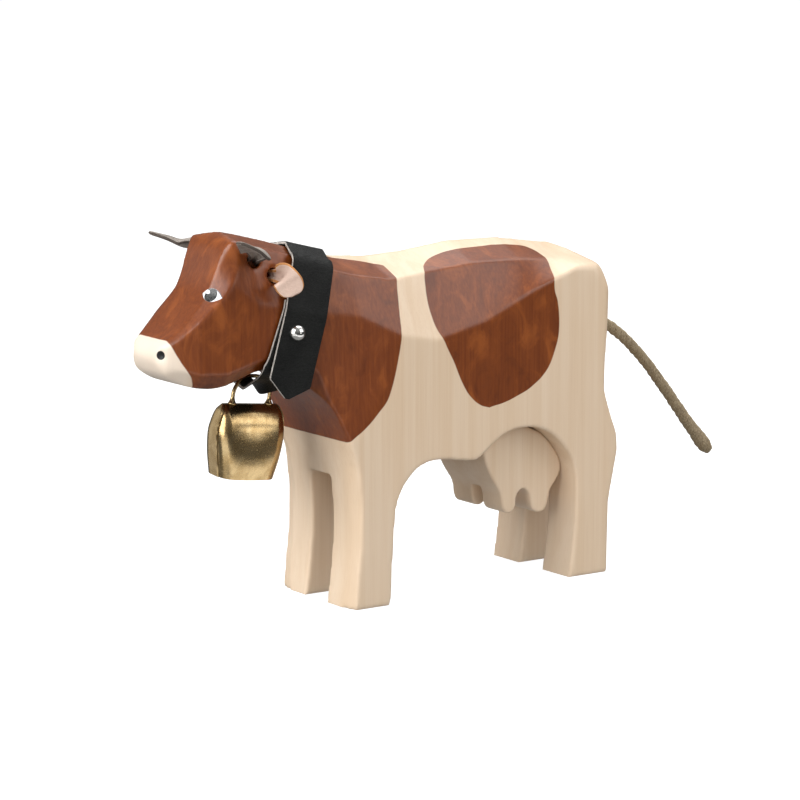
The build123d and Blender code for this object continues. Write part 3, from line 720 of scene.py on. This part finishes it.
def strap_grid(across_shares):
    """Rows of points across the strap: middle surface, outward normal, and the strap's own length."""
    line = rounded_line(strap_line, strap_bends, strap_step)
    lengths = np.concatenate([[0], np.cumsum(np.linalg.norm(np.diff(line, axis=0), axis=1))])
    tangents = np.gradient(line, lengths, axis=0)
    rows = []
    for (half, run), tangent, length in zip(line, tangents, lengths):
        tangent = tangent / np.linalg.norm(tangent)
        normal = down * tangent[0] - Vector((0, 1, 0)) * tangent[1]
        taper = side_taper * abs(normal.y) + crest_taper * max(0, -normal.dot(down))
        width, arch, lead = strap_width, 0.0, 0.0
        if length < strap_point_length:
            width = strap_tip_width + (strap_width - strap_tip_width) * length / strap_point_length
        elif abs(half) < arris_half_width and run < knee_run:
            lead = -strap_crest_setback * (1 - abs(half) / arris_half_width)
        elif length > lengths[-1] / 2 and run > knee_run:
            gather = max(0, 1 - abs(half) / throat_half_width) if run > low_run else 0
            width += (strap_arch_width - strap_width) * gather
            arch = strap_arch_height * gather
            lead = strap_lead * min(1, (run - knee_run) / (low_run - knee_run))
            lead += (strap_low_lead - strap_lead) * gather
        place = collar_crest + Vector((0, half, 0)) + down * run
        row = []
        for share in across_shares:
            forward = lead + share * width / 2
            row.append(place + ahead * forward + normal * (arch * share**2 - taper * forward))
        rows.append((row, normal))
    return rows


def make_strap(material):
    """Leather strap with raw edges, lapped on the left."""
    shares = strap_shares
    rows = strap_grid([-1, *shares, 1])
    points, raw = [], []
    half = strap_thickness / 2
    last = len(shares) - 1
    for row, normal in rows:
        rise = [half * (0.8 if k in (0, last) else 1) for k in range(len(shares))]
        outer = [spot + normal * up for spot, up in zip(row[1:-1], rise)]
        inner = [spot - normal * up for spot, up in zip(row[1:-1], rise)]
        points += [row[0], *outer, row[-1], *inner[::-1]]
        edges = [0.35] + [0.0] * (last - 1) + [0.35]
        raw += [1.0, *edges, 1.0, *edges]
    ring = 2 * len(shares) + 2
    faces = []
    for r in range(len(rows) - 1):
        for k in range(ring):
            a, b = r * ring + k, r * ring + (k + 1) % ring
            faces.append((a, b, b + ring, a + ring))
    faces.append(tuple(range(ring))[::-1])
    end = (len(rows) - 1) * ring
    faces.append(tuple(range(end, end + ring)))
    mesh = new_mesh("collar_leather", points, faces, [material], raw)
    put("collar_leather", mesh, "collar", ["collar_strap"])


collar_tones = (rgb(24, 25, 23), rgb(9, 10, 9), rgb(206, 200, 192))
make_strap(leather("black collar leather", *collar_tones, grain=0.5, depth=0.2, rough=0.42, sheen=0.22))

# Leather leaves: place from the root, width, curl in degrees and lift, as shares of the reach
horn_root = Vector((53.68, 11.92, 117.05))
ear_root = Vector((46.64, 12.75, 111.76))
horn_reach, horn_width, horn_thickness = 23.6, 10.0, 1.2
ear_reach, ear_width, ear_thickness = 13.0, 8.8, 1.2
horn_rows = [
    ((-0.070, -0.198, -0.064), 0.52, 200, 0.0),
    ((0.026, 0.072, 0.023), 0.54, 195, 0.0),
    ((0.110, 0.260, 0.095), 0.85, 125, 0.5),
    ((0.230, 0.450, 0.155), 1.06, 75, 1.0),
    ((0.410, 0.580, 0.205), 0.82, 45, 1.0),
    ((0.570, 0.655, 0.250), 0.44, 25, 1.0),
    ((0.655, 0.675, 0.275), 0.18, 15, 1.0),
]
ear_rows = [
    ((-0.018, -0.360, -0.018), 0.53, 200, 0.0),
    ((0.008, 0.110, 0.010), 0.66, 190, 0.0),
    ((0.030, 0.330, 0.055), 1.04, 110, 0.6),
    ((0.000, 0.520, -0.020), 1.02, 55, 1.0),
    ((-0.070, 0.630, -0.180), 1.04, 30, 1.0),
    ((-0.145, 0.700, -0.340), 0.82, 20, 1.0),
    ((-0.180, 0.720, -0.420), 0.30, 15, 1.0),
]
horn_crown = Vector((-0.43, -0.12, 0.87))
ear_crown = Vector((-0.56, -0.81, -0.16))
left_horn_rise = 0.15
leaf_row_count = 34
leaf_steps = 20


def smooth_rows(values, count):
    """Values of a table, followed smoothly at evenly spaced steps."""
    table = np.array(values, float)
    padded = np.vstack([2 * table[0] - table[1], table, 2 * table[-1] - table[-2]])
    result = []
    for step in np.linspace(0, len(table) - 1, count):
        k = min(int(step), len(table) - 2)
        t = step - k
        a, b, c, d = padded[k : k + 4]
        result.append(b + 0.5 * t * (c - a + t * (2 * a - 5 * b + 4 * c - d + t * (3 * (b - c) + d - a))))
    return np.array(result)


def leaf_mesh(name, root, reach, width, thickness, rows, crown, material, rise=0.0, side=1):
    """Leather tongue, rolled at its root and open at its tip."""
    table = [(x, y, z + rise * y * y, w, curl, lift) for (x, y, z), w, curl, lift in rows]
    table = smooth_rows(table, leaf_row_count)
    places = [root + Vector(row[:3]) * reach for row in table]
    steps = leaf_steps
    points, raw = [], []
    for i, (_, _, _, share, curl, lift) in enumerate(table):
        run = places[min(i + 1, len(places) - 1)] - places[max(i - 1, 0)]
        across = run.cross(crown).normalized()
        up = across.cross(run).normalized()
        angle = radians(max(curl, 8))
        radius = max(share, 0.06) * width / angle
        middle = places[i] - up * radius * lift
        tip = min(1.0, (len(table) - 1 - i) / 3 + 0.4)
        for sign in (1, -1):
            for k in range(steps + 1):
                turn = angle * (k / steps - 0.5) * sign
                rim = abs(k / steps - 0.5) * 2
                thick = thickness / 2 * tip * (1 - 0.4 * max(0, rim - 0.9) / 0.1)
                spoke = up * cos(turn) + across * sin(turn)
                points.append(middle + spoke * (radius + sign * thick))
                raw.append(1.0 if rim > 0.985 or i == len(table) - 1 else 0.0)
    ring = 2 * (steps + 1)
    faces = []
    for r in range(len(table) - 1):
        for k in range(ring):
            a, b = r * ring + k, r * ring + (k + 1) % ring
            faces.append((a, a + ring, b + ring, b))
    faces.append(tuple(range(ring)))
    last = (len(table) - 1) * ring
    faces.append(tuple(range(last, last + ring))[::-1])
    points = [Vector((p.x, p.y * side, p.z)) for p in points]
    mesh = new_mesh(name, points, faces, [material], raw)
    outward(mesh)
    return mesh


def make_leaves():
    """Ears and horns of both sides."""
    tones = (rgb(178, 168, 158), rgb(130, 121, 113), rgb(96, 86, 78))
    horn = leather("dark horn leather", *tones, grain=0.45, depth=0.1, rough=0.6)
    tones = (rgb(226, 200, 184), rgb(211, 182, 165), rgb(206, 142, 84))
    ear = leather("pale ear leather", *tones, grain=0.4, depth=0.05, rough=0.6)
    for label, side, rise in (("left", 1, left_horn_rise), ("right", -1, 0.0)):
        sizes = (horn_root, horn_reach, horn_width, horn_thickness, horn_rows, horn_crown, horn)
        mesh = leaf_mesh(f"{label}_horn_leaf", *sizes, rise=rise, side=side)
        put(f"{label}_horn_leaf", mesh, "cow", [f"{label}_horn"])
        sizes = (ear_root, ear_reach, ear_width, ear_thickness, ear_rows, ear_crown, ear)
        mesh = leaf_mesh(f"{label}_ear_leaf", *sizes, side=side)
        put(f"{label}_ear_leaf", mesh, "cow", [f"{label}_ear"])


make_leaves()

# Bell: where its bail hangs, its tilts and sizes; sections as drop, length, depth and corner, in shares
bail_hang = Vector((46.65, 0, 77.614))
bell_tilt = radians(5.8)
bell_lean = radians(5.0)
bell_height = 24.0
bell_length = 25.0
bell_depth = 13.5
bell_sheet = 0.7
bell_lap = 0.45
bell_seam_place = 2.4
bell_seam_groove = 0.4
bell_ring_count = 44
bell_half_count = 64
bell_sections = [
    (0.00, 0.80, 0.10, 0.05),
    (0.012, 0.83, 0.17, 0.08),
    (0.10, 0.91, 0.52, 0.18),
    (0.24, 0.97, 0.78, 0.28),
    (0.42, 1.00, 0.92, 0.32),
    (0.70, 0.92, 1.00, 0.32),
    (1.00, 0.80, 0.97, 0.32),
]
bell_bow = [(0.0, 0.0), (0.12, -0.5), (0.28, -0.5), (0.46, 0.3), (0.65, 0.85), (0.82, 0.95), (1.0, 0.6)]
bail_wire, bail_span, bail_height, bail_bend = 1.3, 14.0, 9.4, 6.5
bail_foot_diameter, bail_foot_height = 3.0, 2.2
bail_step = 0.45


def bell_spot(point):
    """Place in the object's frame of a point drawn with the bell upright and its crown at 0."""
    x, y, z = point[0], point[1], point[2] - bail_height
    y, z = y * cos(bell_lean) + z * sin(bell_lean), z * cos(bell_lean) - y * sin(bell_lean)
    x, z = x * cos(bell_tilt) - z * sin(bell_tilt), x * sin(bell_tilt) + z * cos(bell_tilt)
    return bail_hang + Vector((x, y, z))


def bell_outline(length, depth, corner, bow):
    """Closely spaced points round the bell at one height, with their outward normals."""
    half_x, half_y = length / 2, depth / 2
    corner = min(max(corner, 0.3), half_y * 0.95)
    spots, normals = [], []
    for quarter, (sx, sy) in enumerate(((1, 1), (-1, 1), (-1, -1), (1, -1))):
        middle = np.array([sx * (half_x - corner), sy * (half_y - corner)])
        for share in np.linspace(0, 1, 25):
            turn = pi / 2 * (quarter + share)
            spots.append(middle + corner * np.array([cos(turn), sin(turn)]))
            normals.append((cos(turn), sin(turn)))
        reach = 2 * (half_y - corner) if quarter % 2 else 2 * (half_x - corner)
        along = np.array([-sin(turn), cos(turn)])
        for share in np.linspace(0, 1, 30)[1:-1]:
            spots.append(middle + corner * np.array([cos(turn), sin(turn)]) + along * reach * share)
            normals.append((cos(turn), sin(turn)))
    spots, normals = np.array(spots), np.array(normals)
    bulge = bow * np.clip(1 - (spots[:, 0] / half_x) ** 2, 0, 1) ** 2
    spots[:, 1] += bulge * np.sign(spots[:, 1])
    return spots, normals


def bell_ring(sizes, inset, lap, count=bell_half_count):
    """One ring of the bell: the near half between the two seams, then the far half that laps it."""
    spots, normals = bell_outline(*sizes)
    spots = spots - normals * min(inset, 0.6 * spots[:, 1].max())
    seam = min(bell_seam_place, 0.6 * spots[:, 1].max())
    near = spots[:, 1] > seam
    start = int(np.flatnonzero(near & ~np.roll(near, 1))[0])
    order = np.roll(np.arange(len(spots)), -start)
    cut = int(near.sum())
    ring = []
    for half, lift in ((order[:cut], 0.0), (order[cut:], lap)):
        steps = np.linspace(0, len(half) - 1, count)
        low = np.minimum(steps.astype(int), len(half) - 2)
        part = (steps - low)[:, None]
        place = spots[half[low]] * (1 - part) + spots[half[low + 1]] * part
        normal = normals[half[low]] * (1 - part) + normals[half[low + 1]] * part
        offset = np.full(count, lift)
        if lap and not lift:
            offset[[0, -1]] = -bell_seam_groove
        ring += list(place + normal * offset[:, None])
    return ring


def bell_surface(inset, lap, roof):
    """Rings of points from the crown down to the mouth."""
    drops, bows = zip(*bell_bow)
    rings = []
    for drop, length, depth, corner in smooth_rows(bell_sections, bell_ring_count):
        bow = float(np.interp(drop, drops, bows))
        sizes = (bell_length * length, bell_depth * depth, bell_depth * corner, bow)
        outline = bell_ring(sizes, inset, lap)
        height = -roof - (bell_height - roof) * min(max(drop, 0.0), 1.0)
        rings.append([bell_spot((x, y, height)) for x, y in outline])
    return rings


def make_bell(material):
    """Folded sheet bell with its lapped sides, open below."""
    outer = bell_surface(0.0, bell_lap, 0.0)
    inner = bell_surface(bell_sheet, 0.0, bell_sheet)[4:]
    rings = outer + inner[::-1]
    count = len(outer[0])
    points = [spot for ring in rings for spot in ring]
    faces = []
    for r in range(len(rings) - 1):
        for k in range(count):
            a, b = r * count + k, r * count + (k + 1) % count
            faces.append((a, a + count, b + count, b))
    faces.append(tuple(range(count)))
    last = (len(rings) - 1) * count
    faces.append(tuple(range(last, last + count))[::-1])
    half = count // 2
    # Painted shade: the points of the two lap-seam grooves on the outside get the dark seam colour, for the
    # shadow in the gap under the lap
    seam_shade = [1.0 if k in (0, half - 1) else 0.0 for k in range(count)]
    raw = seam_shade * len(outer) + [0.0] * (count * len(inner))
    mesh = new_mesh("bell_sheet", points, faces, [material], raw)
    outward(mesh)
    mesh.set_sharp_from_angle(angle=radians(40))
    put("bell_sheet", mesh, "bell", ["bell_shell"])


def tube_mesh(name, spots, radii, material, sides=20):
    """Round tube along points with a radius at each."""
    spots = [Vector(spot) for spot in spots]
    points, faces = [], []
    side = None
    for i, (spot, radius) in enumerate(zip(spots, radii)):
        run = (spots[min(i + 1, len(spots) - 1)] - spots[max(i - 1, 0)]).normalized()
        side = run.orthogonal().normalized() if side is None else (side - run * side.dot(run)).normalized()
        other = run.cross(side)
        for k in range(sides):
            turn = 2 * pi * k / sides
            points.append(spot + (side * cos(turn) + other * sin(turn)) * radius)
    for i in range(len(spots) - 1):
        for k in range(sides):
            a, b = i * sides + k, i * sides + (k + 1) % sides
            faces.append((a, b, b + sides, a + sides))
    faces.append(tuple(range(sides))[::-1])
    faces.append(tuple(range((len(spots) - 1) * sides, len(spots) * sides)))
    return new_mesh(name, points, faces, [material])


def make_bail(material):
    """Bent wire with a brazed foot at each end."""
    half = bail_span / 2
    chain = [(-half, 0.0), (-half, bail_height), (half, bail_height), (half, 0.0)]
    line = rounded_line(chain, [bail_bend, bail_bend], bail_step)
    spots = [bell_spot((x, 0, z)) for x, z in line]
    flare = (bail_foot_diameter - bail_wire) / 2
    radii = [bail_wire / 2 + flare * max(0, 1 - z / bail_foot_height) ** 1.6 for _, z in line]
    put("bail_wire", tube_mesh("bail_wire", spots, radii, material), "bell", ["bell_bail"])


brass_plate = (rgb(204, 178, 132), rgb(174, 146, 100), 0.13, 0.14)
brass = plated("bell brass plate", *brass_plate)
# The seam colour is painted shade, for the dark gap where the far half laps the near half
make_bell(plated("lapped brass sheet", *brass_plate, seam=rgb(48, 36, 22)))
make_bail(brass)


def dress_small_parts():
    """Finishes of the small solids that keep their own shape."""
    nickel = plated("rivet nickel", rgb(214, 212, 208), rgb(190, 188, 186), 0.08)
    wire = plated("clapper wire", rgb(150, 140, 122), rgb(112, 104, 90), 0.3)
    finishes = {
        "rivet_cap": nickel, "rivet_back": nickel, "clapper_staple": wire,
        "clapper_link": wire, "clapper_rod": wire, "clapper_ball": brass,
    }
    for node, finish in finishes.items():
        materials = cad_nodes[node].data.materials
        materials.clear()
        materials.append(finish)


dress_small_parts()

# Studio in metres: floor, and lights as name, direction, distance, width, height, power and rays
floor_width = 60.0
lights = [
    ("key", (0.87, 0.06, 0.40), 1.3, 1.10, 1.20, 18.0, "both"),
    ("brow", (0.86, -0.13, 0.46), 1.3, 0.50, 0.50, 2.2, "both"),
    ("top", (-0.30, -0.15, 1.0), 1.2, 1.20, 1.20, 11.0, "both"),
    ("side", (-0.55, 0.70, 0.52), 1.3, 1.00, 0.75, 5.8, "both"),
    ("fill", (0.20, 0.90, 0.15), 1.5, 1.40, 1.00, 7.6, "diffuse"),
    ("far", (0.56, -0.80, 0.0), 1.4, 0.80, 1.00, 1.6, "glossy"),
    ("bounce", (-0.15, 0.84, -0.53), 1.2, 2.90, 0.45, 4.6, "glossy"),
    ("front", (0.88, 0.40, -0.24), 1.3, 1.20, 0.60, 2.4, "glossy"),
]
sky_steps = [(-1.0, 0.40), (-0.50, 0.40), (-0.34, 0.10), (0.06, 0.10), (0.35, 0.25), (1.0, 0.45)]


def make_sky():
    """World light that changes with height only."""
    world = bpy.data.worlds.new("studio")
    world.use_nodes = True
    tree = world.node_tree
    spot = tree.nodes.new("ShaderNodeTexCoord")
    parts = tree.nodes.new("ShaderNodeSeparateXYZ")
    span = tree.nodes.new("ShaderNodeMapRange")
    span.inputs["From Min"].default_value = -1.0
    ramp = tree.nodes.new("ShaderNodeValToRGB")
    marks = ramp.color_ramp.elements
    while len(marks) < len(sky_steps):
        marks.new(0.5)
    for mark, (height, light) in zip(marks, sky_steps):
        mark.position = (height + 1) / 2
        mark.color = (light, light, light, 1.0)
    back = tree.nodes["Background"]
    tree.links.new(spot.outputs["Generated"], parts.inputs[0])
    tree.links.new(parts.outputs["Z"], span.inputs["Value"])
    tree.links.new(span.outputs[0], ramp.inputs[0])
    tree.links.new(ramp.outputs[0], back.inputs["Color"])
    bpy.context.scene.world = world


def make_studio():
    """Pale floor and soft light."""
    half = floor_width / 2
    mesh = bpy.data.meshes.new("floor")
    corners = [(-half, -half, 0), (half, -half, 0), (half, half, 0), (-half, half, 0)]
    mesh.from_pydata(corners, [], [(0, 1, 2, 3)])
    paint = Paint("pale floor", Roughness=0.9)
    paint.shader.inputs["Base Color"].default_value = (0.3, 0.3, 0.3, 1.0)
    paint.shader.inputs["Emission Color"].default_value = (1.0, 1.0, 1.0, 1.0)
    paint.shader.inputs["Emission Strength"].default_value = 0.9
    mesh.materials.append(paint.material)
    floor = bpy.data.objects.new("floor", mesh)
    floor.visible_glossy = False
    floor.visible_diffuse = False
    bpy.context.collection.objects.link(floor)
    for name, direction, distance, width, height, power, rays in lights:
        data = bpy.data.lights.new(name, "AREA")
        data.shape = "RECTANGLE"
        data.size, data.size_y, data.energy = width, height, power
        light = bpy.data.objects.new(name, data)
        outward = Vector(direction).normalized()
        light.location = look_at * MM + outward * distance
        light.rotation_euler = outward.to_track_quat("Z", "Y").to_euler()
        light.visible_camera = False
        light.visible_glossy = rays != "diffuse"
        light.visible_diffuse = rays != "glossy"
        bpy.context.collection.objects.link(light)
    make_sky()
    bpy.context.scene.view_settings.view_transform = "Standard"


make_studio()
